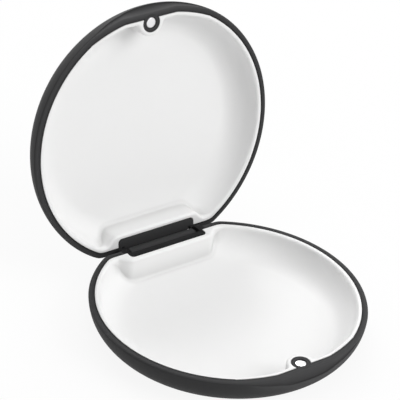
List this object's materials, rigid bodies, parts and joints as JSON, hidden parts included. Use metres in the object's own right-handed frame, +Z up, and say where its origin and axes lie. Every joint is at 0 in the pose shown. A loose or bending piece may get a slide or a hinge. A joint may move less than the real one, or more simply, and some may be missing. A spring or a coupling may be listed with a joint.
{
  "type": "retainer case",
  "caption": "Slim round clamshell case for a dental retainer, two white-lined halves on a rear hinge, shown open, with a finger scoop and magnets at the front.",
  "frame": {"origin": "centre of the round outline, on the flat underside of the base half", "axes": "+Z up, +X along the hinge, +Y from the front scoop towards the hinge"},
  "size_m": [0.0856, 0.1031, 0.0864],
  "materials": {
    "black_shell": "soft-touch matt black",
    "white_liner": "smooth satin white",
    "black_hinge": "fine matt black",
    "magnet_plating": "bright nickel plate",
    "pin_steel": "drawn steel"
  },
  "bodies": {
    "base": {"base_shell": "black_shell", "base_liner": "white_liner", "base_magnet": "magnet_plating", "hinge_bracket": "black_hinge", "hinge_pin": "pin_steel"},
    "lid": {"lid_shell": "black_shell", "lid_liner": "white_liner", "lid_magnet": "magnet_plating", "hinge_knuckle": "black_hinge"}
  },
  "joints": [
    {"name": "lid_hinge", "type": "hinge", "parent": "base", "child": "lid", "pos_m": [0, 0.0372, 0.0083], "axis": [1, 0, 0], "range_deg": [0, 98]}
  ]
}
